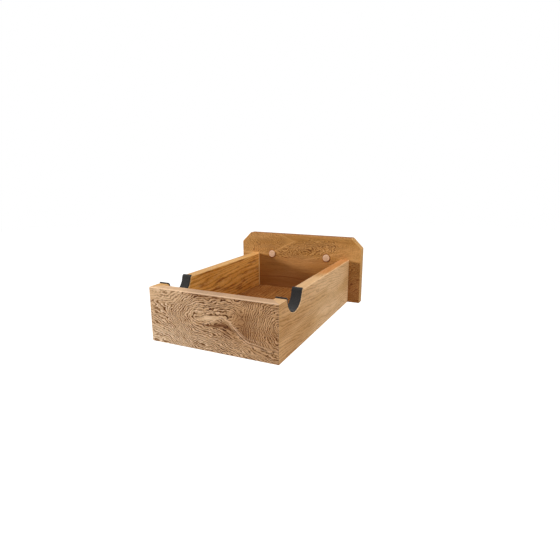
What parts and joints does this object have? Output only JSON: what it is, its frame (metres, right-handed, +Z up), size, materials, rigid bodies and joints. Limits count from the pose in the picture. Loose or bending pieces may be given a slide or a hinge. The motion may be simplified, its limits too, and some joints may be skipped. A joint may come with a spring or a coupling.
{
  "type": "bicycle wall rack",
  "caption": "Oak wall rack for a bicycle: an open tray with a felt-lined half-round notch in each side board for the top tube, on a wall plate with two capped screws.",
  "frame": {"origin": "midway between the two wall screws, on the back face of the wall plate, which is the wall's surface", "axes": "+X to the right as seen from the room, +Y into the wall, +Z up; the tray stands out along -Y and its top edge is at Z = 0"},
  "size_m": [0.305, 0.45, 0.15],
  "materials": {
    "oak_front": "oiled oak with strong cathedral grain, satin",
    "oak_side": "oiled oak, straight grain along the depth, satin",
    "oak_plate": "oiled oak, slightly darker, satin",
    "oak_floor": "oiled oak panel, satin",
    "felt": "black wool felt, matte",
    "beech": "raw beech",
    "screw_steel": "yellow zinc-plated steel",
    "zinc_steel": "bright zinc-plated steel",
    "cap_wood": "turned light beech button, satin"
  },
  "bodies": {
    "rack": {"back_plate": "oak_plate", "side_board_left": "oak_side", "side_board_right": "oak_side", "front_board": "oak_front", "tray_floor": "oak_floor", "notch_lining_left": "felt", "notch_lining_right": "felt", "corner_tongue_left": "beech", "corner_tongue_right": "beech", "side_dowel_left": "beech", "side_dowel_right": "beech", "side_screw_left_upper": "screw_steel", "side_screw_left_lower": "screw_steel", "side_screw_right_upper": "screw_steel", "side_screw_right_lower": "screw_steel", "wall_washer_left": "zinc_steel", "wall_washer_right": "zinc_steel", "wall_screw_left": "zinc_steel", "wall_screw_right": "zinc_steel"},
    "cap_left": {"screw_cap_left": "cap_wood"},
    "cap_right": {"screw_cap_right": "cap_wood"}
  },
  "joints": [
    {"name": "cap_left_pull", "type": "slide", "parent": "rack", "child": "cap_left", "axis": [0, -1, 0], "range_m": [0, 0.01]},
    {"name": "cap_right_pull", "type": "slide", "parent": "rack", "child": "cap_right", "axis": [0, -1, 0], "range_m": [0, 0.01]}
  ]
}
